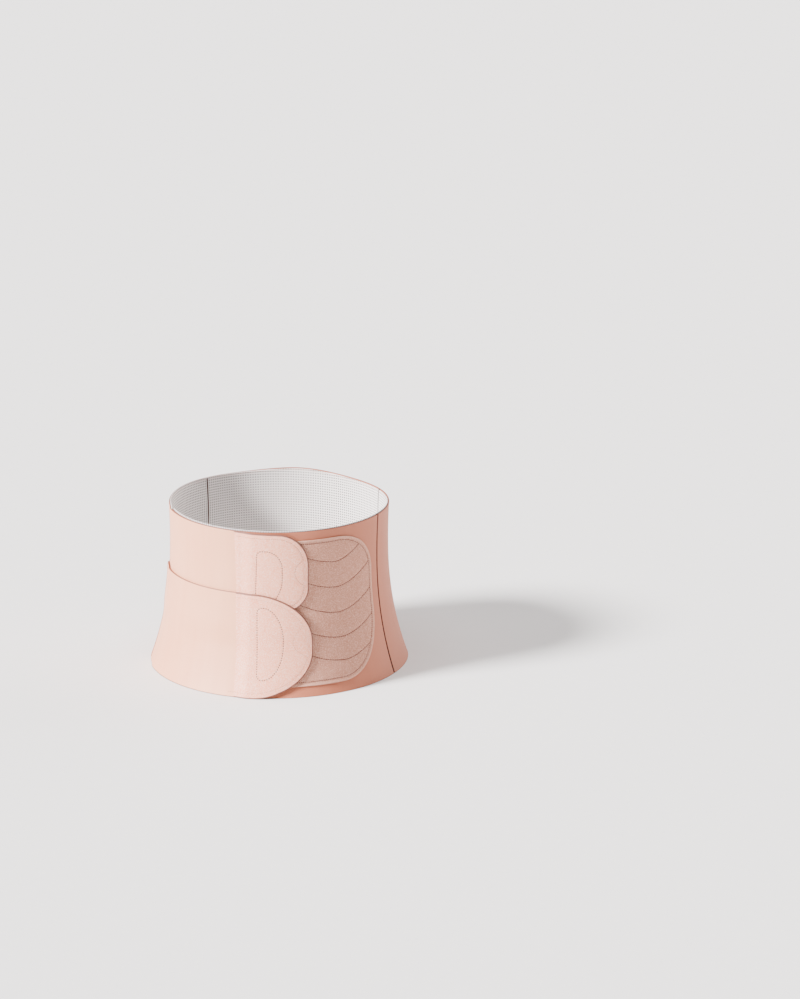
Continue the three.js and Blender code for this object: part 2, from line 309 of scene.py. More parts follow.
def tab_inner(angle, height=0.0):
    """Inner face of the tabs: level with the wall at the seam, then one smooth step up
    onto the underlap and one onto the loop pad and the hook pads."""
    climb, edge = CLIMB * DEGREES_PER_M, 3 * GAP * DEGREES_PER_M
    on_underlap = smooth(angle, UNDERLAP_END - climb, UNDERLAP_END - edge)
    on_pads = smooth(angle, PAD_LEFT - climb, PAD_LEFT - edge)
    pads = LOOP_PAD + HOOK_PAD + 2 * LAY
    return -FABRIC + (FABRIC + LAY) * on_underlap + pads * on_pads + 0 * height


def over_upper(height):
    """0 where the lower tab lies beside the upper one, 1 where it lies over it."""
    risen = UPPER_TAB_LOW - TAB_ROW
    return smooth(height, risen - OVERLAP_RISE, risen)


def lower_tab_inner(angle, height):
    """Inner face of the lower tab: the tabs' own, raised over the upper tab."""
    return tab_inner(angle) + (PLUSH_END + LAY) * over_upper(height)


def joint_lean(angle, height):
    """How far the plush joint and its neighbourhood turn towards the hem."""
    lean = (PLUSH_JOINT_HEM - PLUSH_JOINT_RIM) * (1 - height / HEIGHT)
    return lean * np.maximum(0, 1 - np.abs(angle - PLUSH_JOINT_RIM) / LEAN_SPREAD)


# Outlines on the wall

def corner_cut(distance, length, height):
    """What an elliptical corner takes off, this far from the end: the height times one
    minus the ellipse's other coordinate."""
    u = np.clip(1 - distance / length, 0, 1)
    return height * (1 - np.sqrt(1 - u * u))


def steps(length, step):
    """Shares from 0 to 1 along a length: even steps, with the fine edge steps at ends."""
    inner = np.linspace(EDGE_STEPS[-1], length - EDGE_STEPS[-1],
                        max(2, round((length - 2 * EDGE_STEPS[-1]) / step) + 1))
    return np.concatenate([EDGE_STEPS[:-1], inner, length - EDGE_STEPS[-2::-1]]) / length


def span(left, right, step):
    """Angles from left to right, finely spaced at both ends."""
    return left + (right - left) * steps((right - left) / DEGREES_PER_M, step)


def corner_angles(start, end, length):
    """Angles round an elliptical corner, by the sine of even turns."""
    count = max(4, round(CORNER_FINENESS * length / PAD_STEP))
    return start + (end - start) * np.sin(np.arange(1, count + 1) / count * math.pi / 2)


class Patch:
    """A rounded patch on the wall: its angles, and its foot and top at each angle."""

    def __init__(self, left, right, foot, top, corner, left_corner=0.0):
        self.left, self.right = left, right
        self.foot, self.top = foot, top
        self.corner, self.left_corner = corner, left_corner
        start = left + left_corner * DEGREES_PER_M
        end = right - corner["length"] * DEGREES_PER_M
        if left_corner:
            first = corner_angles(start, left, left_corner)[::-1]
            count = max(2, round((end - start) / DEGREES_PER_M / PAD_STEP))
            middle = np.linspace(start, end, count)
        else:
            shares = steps((end - start) / DEGREES_PER_M, PAD_STEP)
            first, middle = [], start + (end - start) * shares[:-len(EDGE_STEPS) + 1]
            middle = np.append(middle, end)
        last = corner_angles(end, right, corner["length"])
        self.angles = np.concatenate([first, middle, last])

    def cut(self, angle, which):
        """What the corners at both ends take off the foot or the top."""
        from_right = (self.right - angle) / DEGREES_PER_M
        cut = corner_cut(from_right, self.corner["length"], self.corner[which])
        if self.left_corner:
            from_left = (angle - self.left) / DEGREES_PER_M
            cut = cut + corner_cut(from_left, self.left_corner, self.left_corner)
        return cut

    def low(self, angle):
        """Height of the patch's lower edge."""
        return self.foot + self.cut(angle, "bottom")

    def high(self, angle):
        """Height of the patch's upper edge."""
        return self.top(angle) - self.cut(angle, "top")


def near(points, path):
    """Distance from each point to the nearest point of a path, worked out in blocks."""
    flat, found = points.reshape(-1, 3), []
    for block in np.array_split(flat, max(1, len(flat) // BLOCK_POINTS)):
        square = (block ** 2).sum(1)[:, None] + (path ** 2).sum(1)[None]
        found.append(np.sqrt(np.maximum(0, square - 2 * block @ path.T).min(1)))
    return np.concatenate(found).reshape(points.shape[:-1])


# Meshes

def mesh_object(name, points, faces, material, uv=None, rim=None):
    """A smooth-shaded mesh object at the origin, from arrays of points and quads."""
    mesh = bpy.data.meshes.new(name)
    mesh.from_pydata(points.tolist(), [], faces.tolist())
    mesh.polygons.foreach_set("use_smooth", np.ones(len(faces), dtype=bool))
    if uv is not None:
        layer = mesh.uv_layers.new(name="flat")
        layer.data.foreach_set("uv", uv[faces.ravel()].ravel())
    if rim is not None:
        values = mesh.attributes.new("rim", "FLOAT", "POINT")
        values.data.foreach_set("value", rim)
    mesh.materials.append(material)
    mesh.validate()
    piece = bpy.data.objects.new(name, mesh)
    bpy.context.scene.collection.objects.link(piece)
    return piece


def grid_faces(count_u, count_v):
    """Quads of a grid whose points are numbered along v first."""
    first = (np.arange(count_u - 1)[:, None] * count_v + np.arange(count_v - 1)).ravel()
    return np.stack([first, first + count_v, first + count_v + 1, first + 1], -1)


def sheet(name, material, angles, foot, top, inner, thick, *, step, lean=None,
          relief=None, round_edge=None, curl=None, butt=None):
    """A closed sheet bent round the wall. Each column runs from its foot to its top. The
    two faces lie at inner and inner + thick, and meet at the outline on a rounded edge:
    near it the half-thickness is that of a quarter ellipse. relief is added to the outer
    face, and curl moves both. The first or last column, where butt names it, is left
    square, to meet the next piece flush."""
    heights = foot(angles), top(angles)
    shares = steps(float(np.median(heights[1] - heights[0])), step)
    height = heights[0][:, None] + (heights[1] - heights[0])[:, None] * shares
    angle = np.repeat(angles[:, None], len(shares), 1)
    if lean is not None:
        angle = angle + lean(angle, height)
    flat = wall(angle, height)
    ends = [flat[k] for k in (0, -1) if k != butt]
    outline = np.concatenate([flat[:, 0], flat[:, -1], *ends])
    edge = near(flat, outline)
    edge[:, 0] = edge[:, -1] = 0
    reach = round_edge or thick / 2
    half = thick / 2 * np.sqrt(np.maximum(0, 1 - (1 - np.minimum(edge, reach) / reach) ** 2))
    middle = inner(angle, height) + thick / 2
    if curl is not None:
        middle = middle - curl(angle, height, edge, flat)
    raised = 0 if relief is None else relief(angle, height, edge, flat) * smooth(edge, 0, reach)
    outer_points = wall(angle, height, middle + half + raised)
    inner_points = wall(angle, height, middle - half)
    count_u, count_v = angle.shape
    numbers = np.arange(count_u * count_v).reshape(count_u, count_v)
    hidden = np.zeros_like(numbers)
    hidden[1:-1, 1:-1] = numbers.size + np.arange((count_u - 2) * (count_v - 2)).reshape(
        count_u - 2, count_v - 2)
    twin = np.where(hidden > 0, hidden, numbers)
    outer_faces = grid_faces(count_u, count_v)
    inner_faces = twin.ravel()[outer_faces][:, ::-1]
    keep = (slice(1, -1), slice(1, -1))
    points = np.concatenate([outer_points.reshape(-1, 3), inner_points[keep].reshape(-1, 3)])
    uv = np.stack([along(angle), height], -1)
    uv = np.concatenate([uv.reshape(-1, 2), uv[keep].reshape(-1, 2)])
    rim = np.concatenate([edge.ravel(), edge[keep].ravel()])
    faces = np.concatenate([outer_faces, inner_faces])
    return mesh_object(name, points, faces, material, uv, rim)


# Thread

def thread_shape():
    """A thread's pill shape along X: a unit circle at each ring, scaled by the root of one
    minus the ring's place to the fourth power. Its smallest rings close the ends."""
    turn = np.linspace(0, 2 * math.pi, THREAD_SIDES, endpoint=False)
    place = -np.cos(np.linspace(THREAD_END_TURN, math.pi - THREAD_END_TURN, THREAD_RINGS))
    size = np.sqrt(1 - place ** 4)
    ring = np.stack([np.zeros(THREAD_SIDES), np.cos(turn), np.sin(turn)], -1)
    points = ring[None] * size[:, None, None]
    points[:, :, 0] = place[:, None]
    return points.reshape(-1, 3)


def thread_faces():
    """Quads round a thread's rings, and two across each end."""
    ring = np.arange(THREAD_SIDES)
    following = (ring + 1) % THREAD_SIDES
    around = np.stack([ring, following, following + THREAD_SIDES, ring + THREAD_SIDES], -1)
    quads = [around + number * THREAD_SIDES for number in range(THREAD_RINGS - 1)]
    ends = [np.array([[0, 5, 4, 3], [0, 3, 2, 1]]),
            np.array([[0, 1, 2, 3], [0, 3, 4, 5]]) + (THREAD_RINGS - 1) * THREAD_SIDES]
    return np.concatenate(quads + ends)


def threads(name, material, angle, height, lift, *, pitch, length, radius, turn=0.0):
    """A row of short threads along a path on the wall, as one mesh. The path is walked
    at even pitch, and each thread lies along it, or turned from it, at the given lift."""
    path = wall(angle, height, lift)
    walked = np.concatenate([[0], np.cumsum(np.linalg.norm(np.diff(path, axis=0), axis=1))])
    count = max(2, round(walked[-1] / pitch))
    at = (np.arange(count) + 0.5) / count * walked[-1]
    angle, height = np.interp(at, walked, angle), np.interp(at, walked, height)
    before, place, after = (
        np.stack([np.interp(at + shift, walked, path[:, k]) for k in range(3)], -1)
        for shift in (-length / 4, 0, length / 4))
    out = wall_normal(angle, height)
    way = after - before
    way -= (way * out).sum(-1, keepdims=True) * out
    way /= np.linalg.norm(way, axis=-1, keepdims=True)
    side = np.cross(out, way)
    cos, sin = math.cos(math.radians(turn)), math.sin(math.radians(turn))
    way, side = cos * way + sin * side, cos * side - sin * way
    shape = thread_shape()
    points = (place[:, None]
              + way[:, None] * shape[None, :, :1] * length / 2
              + side[:, None] * shape[None, :, 1:2] * radius
              + out[:, None] * shape[None, :, 2:] * radius * THREAD_FLATNESS)
    numbers = thread_faces()[None] + np.arange(count)[:, None, None] * len(shape)
    faces = numbers.reshape(-1, 4)
    return mesh_object(name, points.reshape(-1, 3), faces[:, ::-1], material)


# Materials

def colour(code):
    """An sRGB hex code as linear red, green, blue and alpha."""
    parts = np.array([int(code[k:k + 2], 16) for k in (1, 3, 5)]) / 255
    curved = np.where(parts <= 0.04045, parts / 12.92, ((parts + 0.055) / 1.055) ** 2.4)
    return (*curved.tolist(), 1.0)


def add(tree, kind, inputs=None, **settings):
    """Adds one node with its settings, and sets or links its inputs."""
    made = tree.nodes.new(kind)
    for key, value in settings.items():
        setattr(made, key, value)
    for key, value in (inputs or {}).items():
        if isinstance(value, bpy.types.NodeSocket):
            tree.links.new(value, made.inputs[key])
        else:
            made.inputs[key].default_value = value
    return made


def shader(name, **sockets):
    """A new material with one Principled shader, whose constant sockets are set here."""
    material = bpy.data.materials.new(name)
    material.use_nodes = True
    tree = material.node_tree
    tree.nodes.clear()
    surface = add(tree, "ShaderNodeBsdfPrincipled", {"Metallic": 0.0, "IOR": 1.5, **sockets})
    output = add(tree, "ShaderNodeOutputMaterial")
    tree.links.new(surface.outputs[0], output.inputs["Surface"])
    return material, tree, surface


def mix(tree, share, first, second):
    """The colour output of a Mix node between two colours."""
    made = add(tree, "ShaderNodeMix", data_type="RGBA")
    for key, value in ((0, share), (6, first), (7, second)):
        if isinstance(value, bpy.types.NodeSocket):
            tree.links.new(value, made.inputs[key])
        else:
            made.inputs[key].default_value = value
    return made.outputs[2]


def painted_edge_shade(tree, tone, dark, width):
    """Painted shade: darkens a tone in a band along the edge of a sheet, standing in for the
    shade on and beside the edge.
    """
    rim = add(tree, "ShaderNodeAttribute", attribute_name="rim").outputs["Fac"]
    share = add(tree, "ShaderNodeMapRange", {
        "Value": rim, "From Min": width, "From Max": 0.7 * width, "To Max": 0.9}).outputs[0]
    return mix(tree, share, tone, colour(dark))


def knit(name, base, shade, edge, cut, wale=0.9 * MM, streak=0.5, gloss=0.35, roughness=0.6):
    """Warp-knitted polyamide and elastane, dyed: a satin cloth with fine upright wales,
    faint upright streaks from uneven stretch, and a soft sheen at grazing angles. The
    wales are 0.9 mm apart, three times the real spacing, so that they can show. The
    streaks are about 17 mm wide and 200 mm long, and their strength changes over 70 mm."""
    course_share = 0.35
    material, tree, surface = shader(name, **{
        "Roughness": roughness, "Sheen Weight": 0.04, "Sheen Roughness": 0.4,
        "Sheen Tint": colour(base), "Specular IOR Level": gloss})
    place = add(tree, "ShaderNodeUVMap", uv_map="flat").outputs[0]
    long = add(tree, "ShaderNodeMapping", {
        "Vector": place, "Scale": (1 / (16.7 * MM), 1 / (200 * MM), 1)}).outputs[0]
    streaks = add(tree, "ShaderNodeTexNoise", {
        "Vector": long, "Scale": 1.0, "Detail": 3.0, "Roughness": 0.55}).outputs[0]
    broad = add(tree, "ShaderNodeTexNoise", {
        "Vector": place, "Scale": 1 / (71 * MM), "Detail": 2.0}).outputs[0]
    both = add(tree, "ShaderNodeMath", {0: streaks, 1: broad}, operation="MULTIPLY").outputs[0]
    share = add(tree, "ShaderNodeMapRange", {
        "Value": both, "From Min": 0.12, "From Max": 0.42, "To Max": streak}).outputs[0]
    split = add(tree, "ShaderNodeSeparateXYZ", {0: place})
    turns = 2 * math.pi / wale
    wales = add(tree, "ShaderNodeMath", {0: split.outputs[0], 1: turns}, operation="MULTIPLY")
    wales = add(tree, "ShaderNodeMath", {0: wales.outputs[0]}, operation="SINE").outputs[0]
    course = add(tree, "ShaderNodeMath", {0: split.outputs[1], 1: turns * 1.3},
                 operation="MULTIPLY")
    course = add(tree, "ShaderNodeMath", {0: course.outputs[0]}, operation="SINE").outputs[0]
    loops = add(tree, "ShaderNodeMath", {0: course, 1: course_share, 2: wales},
                operation="MULTIPLY_ADD").outputs[0]
    tone = mix(tree, share, colour(base), colour(shade))
    dark = add(tree, "ShaderNodeMapRange", {
        "Value": loops, "From Min": -1 - course_share, "From Max": 0.2,
        "To Min": 0.07, "To Max": 0.0})
    tone = mix(tree, dark.outputs[0], tone, colour(edge))
    # Painted shade: the edge colour darkens a band of width cut along the sheet's edges.
    tone = painted_edge_shade(tree, tone, edge, cut)
    tree.links.new(tone, surface.inputs["Base Color"])
    bump = add(tree, "ShaderNodeBump", {
        "Height": loops, "Strength": 0.25, "Distance": 0.12 * MM}).outputs[0]
    tree.links.new(bump, surface.inputs["Normal"])
    return material


def pile(name, base, shade, fuzz, edge, cut, grain=1.1 * MM, tuft=0.35 * MM, rim_width=0.0,
         gloss=0.1, roughness=0.95):
    """Brushed pile of polyamide loops: a cloth whose fibres stand up, so it is matt and
    speckled, with clouds about 9 mm wide where they lie differently. Where they are
    brushed flat it is a little glossy. The tufts are drawn about 1 mm apart, coarser
    than the real fibres, so that they show. Loose fibres make a rim of this width
    lighter."""
    material, tree, surface = shader(name, **{
        "Roughness": roughness, "Sheen Weight": 0.12, "Sheen Roughness": 0.5,
        "Sheen Tint": colour(fuzz), "Specular IOR Level": gloss})
    place = add(tree, "ShaderNodeTexCoord").outputs["Object"]
    fine = add(tree, "ShaderNodeTexNoise", {
        "Vector": place, "Scale": 1 / grain, "Detail": 3.0, "Roughness": 0.65}).outputs[0]
    broad = add(tree, "ShaderNodeTexNoise", {
        "Vector": place, "Scale": 1 / (9 * MM), "Detail": 3.0}).outputs[0]
    clouds = add(tree, "ShaderNodeMapRange", {
        "Value": broad, "From Min": 0.3, "From Max": 0.7}).outputs[0]
    tone = mix(tree, clouds, colour(base), colour(shade))
    specks = add(tree, "ShaderNodeMapRange", {
        "Value": fine, "From Min": 0.47, "From Max": 0.6, "To Max": 0.65}).outputs[0]
    tone = mix(tree, specks, tone, colour(fuzz))
    if rim_width:
        rim = add(tree, "ShaderNodeAttribute", attribute_name="rim").outputs["Fac"]
        loose = add(tree, "ShaderNodeMapRange", {
            "Value": rim, "From Min": rim_width, "From Max": rim_width * 0.75,
            "To Max": 0.3}).outputs[0]
        tone = mix(tree, loose, tone, colour(fuzz))
    # Painted shade: the edge colour darkens a band of width cut along the sheet's edges.
    tone = painted_edge_shade(tree, tone, edge, cut)
    tree.links.new(tone, surface.inputs["Base Color"])
    bump = add(tree, "ShaderNodeBump", {
        "Height": fine, "Strength": 0.7, "Distance": tuft}).outputs[0]
    tree.links.new(bump, surface.inputs["Normal"])
    return material


def perforated(name, base, shade, hole, pitch=(3.36 * MM, 3.4 * MM), radius=0.88 * MM):
    """Perforated spacer knit of white polyester: a dull white cloth with rows of small
    round holes, each a soft dark dot, in a net of 0.9 mm cells. Holes and cells are
    drawn coarser than the real ones, so that they show."""
    material, tree, surface = shader(name, **{
        "Roughness": 0.9, "Specular IOR Level": 0.15})
    place = add(tree, "ShaderNodeUVMap", uv_map="flat").outputs[0]
    split = add(tree, "ShaderNodeSeparateXYZ", {0: place})
    squares = []
    for k in (0, 1):
        cell = add(tree, "ShaderNodeMath", {0: split.outputs[k], 1: pitch[k]},
                   operation="DIVIDE")
        cell = add(tree, "ShaderNodeMath", {0: cell.outputs[0]}, operation="FRACT")
        away = add(tree, "ShaderNodeMath", {0: cell.outputs[0], 1: 0.5}, operation="SUBTRACT")
        away = add(tree, "ShaderNodeMath", {0: away.outputs[0], 1: pitch[k]},
                   operation="MULTIPLY").outputs[0]
        squares.append(add(tree, "ShaderNodeMath", {0: away, 1: away},
                           operation="MULTIPLY").outputs[0])
    away = add(tree, "ShaderNodeMath", {0: squares[0], 1: squares[1]}, operation="ADD")
    away = add(tree, "ShaderNodeMath", {0: away.outputs[0]}, operation="SQRT").outputs[0]
    dot = add(tree, "ShaderNodeMapRange", {
        "Value": away, "From Min": 1.25 * radius, "From Max": 0.75 * radius}).outputs[0]
    net = add(tree, "ShaderNodeTexVoronoi", {
        "Vector": place, "Scale": 1 / (0.9 * MM)}).outputs[0]
    broad = add(tree, "ShaderNodeTexNoise", {
        "Vector": place, "Scale": 1 / (40 * MM)}).outputs[0]
    tone = mix(tree, broad, colour(base), colour(shade))
    mesh_share = add(tree, "ShaderNodeMapRange", {
        "Value": net, "From Min": 0.2, "From Max": 0.9, "To Max": 0.1}).outputs[0]
    tone = mix(tree, mesh_share, tone, colour(hole))
    tone = mix(tree, dot, tone, colour(hole))
    tree.links.new(tone, surface.inputs["Base Color"])
    sunk = add(tree, "ShaderNodeMath", {0: dot, 1: -2.0, 2: net}, operation="MULTIPLY_ADD")
    bump = add(tree, "ShaderNodeBump", {
        "Height": sunk.outputs[0], "Strength": 0.5, "Distance": 0.25 * MM}).outputs[0]
    tree.links.new(bump, surface.inputs["Normal"])
    return material


def yarn(name, base, shade):
    """Spun polyester sewing thread: a slightly glossy yarn whose tone and surface change
    with the twist, every 0.8 mm."""
    material, tree, surface = shader(name, **{
        "Roughness": 0.65, "Specular IOR Level": 0.25})
    place = add(tree, "ShaderNodeTexCoord").outputs["Object"]
    twist = add(tree, "ShaderNodeTexNoise", {
        "Vector": place, "Scale": 1 / (0.8 * MM), "Detail": 2.0}).outputs[0]
    tone = mix(tree, twist, colour(base), colour(shade))
    tree.links.new(tone, surface.inputs["Base Color"])
    bump = add(tree, "ShaderNodeBump", {
        "Height": twist, "Strength": 0.4, "Distance": 0.1 * MM}).outputs[0]
    tree.links.new(bump, surface.inputs["Normal"])
    return material


# The body's knit is a stretched, satin salmon. The tabs' is paler and glossier. Each has a
# painted shade, a brown band along its edges for the shade on and beside them, which is
# narrower along the rim.
PALE = dict(base="#eba783", shade="#e59c78", edge="#6b3526", streak=0.8, gloss=0.7,
            roughness=0.52)
SALMON_KNIT = knit("salmon_warp_knit", "#b66e53", "#ab6247", "#6b3526", 0.5 * MM)
PALE_KNIT = knit("pale_warp_knit", cut=1.2 * MM, **PALE)
RIM_KNIT = knit("pale_warp_knit_at_rim", cut=0.4 * MM, **PALE)

# The tab ends' plush is pale and brushed flat, the loop pad's is duller, with standing
# loops, and the hook tape looks like short, matt bristles
# Painted shade: each pile's fourth colour darkens a band along its edges, widest and darkest on
# the tab ends, for the shade on and beside them.
TAB_PLUSH = pile("pale_brushed_plush", "#ee9b7d", "#ea9476", "#f8d5c4", "#52261d", 2.1 * MM,
                 gloss=0.5, roughness=0.52)
LOOP_PLUSH = pile("taupe_loop_pile", "#b6806d", "#b07965", "#deaf9c", "#9a6450", 0.4 * MM,
                  grain=1.2 * MM, rim_width=PAD_FUZZ)
HOOK_TAPE = pile("salmon_hook_tape", "#c08f7f", "#b58272", "#d3a999", "#a06a58", 0.3 * MM)

# The lining's knit, dull white with dark holes
WHITE_MESH = perforated("white_perforated_knit", "#fbf6f4", "#f4edeb", "#241c1a")

# Threads, from the body's dark seams to the tone-on-tone lines of the tabs and the rim. The
# dark brown also colours the seams' strips, where it is painted shade for the seams' grooves.
DARK_THREAD_AND_SEAM_SHADE = yarn("brown_sewing_thread_and_seam_shade", "#40221a", "#301812")
BORDER_THREAD = yarn("taupe_sewing_thread", "#301a15", "#23120e")
GREY_THREAD = yarn("rose_grey_sewing_thread", "#7c4a3b", "#6a3d30")
PALE_THREAD = yarn("pale_sewing_thread", "#b07a68", "#9d6857")
SALMON_THREAD = yarn("salmon_sewing_thread", "#b97260", "#a86350")


# Pieces

SEAM_CLEAR = (SEAM_WIDTH / 2 + GAP) * DEGREES_PER_M


def finish(piece, slot, *nodes, flat=None):
    """Seats a piece on the body, and hides the nodes it stands for. The material slot is not
    used. flat, a panel's span and height, is not used."""
    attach(piece, "root")
    if nodes:
        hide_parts(*nodes)


def body_panels():
    """Outer fabric and lining of the back, both sides and the underlap."""
    spans = {
        "back": (SEAMS["seam_right_back"] + SEAM_CLEAR, SEAMS["seam_left_back"] - SEAM_CLEAR),
        "side_right": (SEAMS["seam_right_front"] + SEAM_CLEAR,
                       SEAMS["seam_right_back"] - SEAM_CLEAR),
        "side_left": (SEAMS["seam_left_back"] + SEAM_CLEAR,
                      SEAMS["seam_left_front"] - SEAM_CLEAR),
        "underlap": (UNDERLAP_END, SEAMS["seam_right_front"] - SEAM_CLEAR),
    }
    for name, (left, right) in spans.items():
        angles = span(left, right, PANEL_STEP)
        fabric = sheet(name + "_fabric", SALMON_KNIT, angles, level(0.0), fabric_top,
                       level(-FABRIC), FABRIC, step=PANEL_STEP)
        finish(fabric, "outer_fabric", name + "_panel", flat=(left, right, HEIGHT))
        lining = sheet(name + "_mesh", WHITE_MESH, angles, level(LINING_HEM), lining_top,
                       level(INNER_FACE), LINING, step=PANEL_STEP)
        finish(lining, "lining", name + "_lining", flat=(left, right, HEIGHT))


def wing_lining():
    """The tabs' lining, from the left seam to the free end of the underlap."""
    left = SEAMS["seam_left_front"] - TURN + SEAM_CLEAR
    right = UNDERLAP_END - 3 * GAP * DEGREES_PER_M
    piece = sheet("wing_mesh", WHITE_MESH, span(left, right, WING_STEP), level(LINING_HEM),
                  lining_top, lambda angle, height: tab_inner(angle) - GAP - LINING, LINING,
                  step=PANEL_STEP)
    finish(piece, "lining", "wing_lining", flat=(left, right, HEIGHT))


def sewn_ridge(height):
    """How far the left front seam stands out where both tabs are sewn in, one over the
    other."""
    below_top = 1 - smooth(height, LOWER_TAB_HIGH - RIDGE_END, LOWER_TAB_HIGH)
    return (PLUSH_END + LAY) * over_upper(height) * below_top


def seams():
    """Each seam: a narrow strip through the wall, and threads crossing it on both faces. The
    strip takes its thread's colour, so on the dark seams it is painted shade for the groove.
    """
    half = SEAM_WIDTH / 2 * DEGREES_PER_M
    for name, at in SEAMS.items():
        holds_tabs = name == "seam_left_front"
        thread = SALMON_THREAD if holds_tabs else DARK_THREAD_AND_SEAM_SHADE
        ridge = sewn_ridge if holds_tabs else np.zeros_like
        angles = at + half * np.linspace(-1, 1, SEAM_COLUMNS)
        # The strip is flush with the wall. On the dark seams its brown is painted shade,
        # standing in for the shade in the seam's groove.
        strip = sheet(name + "_strip", thread, angles, level(SEAM_HEM), fabric_top,
                      level(INNER_FACE), -INNER_FACE, step=PANEL_STEP,
                      round_edge=SEAM_WIDTH / 2,
                      relief=lambda angle, height, edge, flat: ridge(height))
        finish(strip, "seam", name)
        rim = float(fabric_top(np.array(at))) - SEAM_THREADS["below_rim"]
        height = np.linspace(SEAM_THREADS["above_hem"], rim, SEAM_POINTS)
        faces = (("outside", ridge(height) + SEAM_THREADS["proud"], SEAM_STITCH),
                 ("inside", INNER_FACE - SEAM_THREADS["proud"], INSIDE_STITCH))
        for face, lift, stitch in faces:
            rows = threads(f"{name}_{face}_threads", thread, at + 0 * height, height, lift,
                           turn=SEAM_THREADS["turn"], **stitch)
            finish(rows, "seam")


def tabs():
    """The smooth stretch parts of the two tabs, from the left seam to the plush joint."""
    left = SEAMS["seam_left_front"] - TURN + SEAM_CLEAR
    angles = span(left, PLUSH_JOINT_RIM, TAB_STEP)
    upper = sheet("upper_tab_fabric", RIM_KNIT, angles, level(UPPER_TAB_LOW), fabric_top,
                  tab_inner, FABRIC, step=TAB_STEP, lean=joint_lean, butt=-1)
    finish(upper, "tab_fabric", "upper_tab",
           flat=(left, PLUSH_JOINT_RIM, HEIGHT - UPPER_TAB_LOW))
    lower = sheet("lower_tab_fabric", PALE_KNIT, angles, level(0.0), level(LOWER_TAB_HIGH),
                  lower_tab_inner, FABRIC, step=TAB_STEP, lean=joint_lean, butt=-1)
    finish(lower, "tab_fabric", "lower_tab",
           flat=(left, PLUSH_JOINT_RIM, LOWER_TAB_HIGH))


def hook_patch(tip, low, high):
    """The D-shaped patch set back from a tab's tip and edges."""
    right = tip - HOOK_SETBACK * DEGREES_PER_M
    return Patch(right - HOOK_WIDTH * DEGREES_PER_M, right, low + HOOK_EDGE_MARGIN,
                 level(high - HOOK_EDGE_MARGIN), HOOK_CORNER, left_corner=HIDDEN_CORNER)


def patch_outline(patch, inset=None, left_side=True):
    """Angles and heights round a patch's outline, anticlockwise from its lower left, with
    or without its left side. An inset, given for each height, moves them inward along
    the outline's own normal."""
    angles = patch.angles
    low, high = patch.low(angles), patch.high(angles)
    side = np.linspace(0, 1, SIDE_POINTS)
    loop = [np.stack([angles, low], -1),
            np.stack([angles[-1] + 0 * side, low[-1] + (high[-1] - low[-1]) * side], -1),
            np.stack([angles[::-1], high[::-1]], -1),
            np.stack([angles[0] + 0 * side, high[0] + (low[0] - high[0]) * side], -1)]
    loop = np.concatenate(loop if left_side else loop[:3])
    if inset is not None:
        out = np.stack([np.gradient(loop[:, 1]), -np.gradient(loop[:, 0]) / DEGREES_PER_M], -1)
        size = np.hypot(*out.T)
        kept = size > TOO_SHORT
        loop, out = loop[kept], out[kept] / size[kept, None]
        loop = loop - out * inset(loop[:, 1])[:, None] * np.array([DEGREES_PER_M, 1])
    return loop


def d_patch(place, corner):
    """The area inside a D-shaped stitch line."""
    return Patch(place["left"], place["right"], place["foot"], level(place["top"]), corner,
                 left_corner=HIDDEN_CORNER)


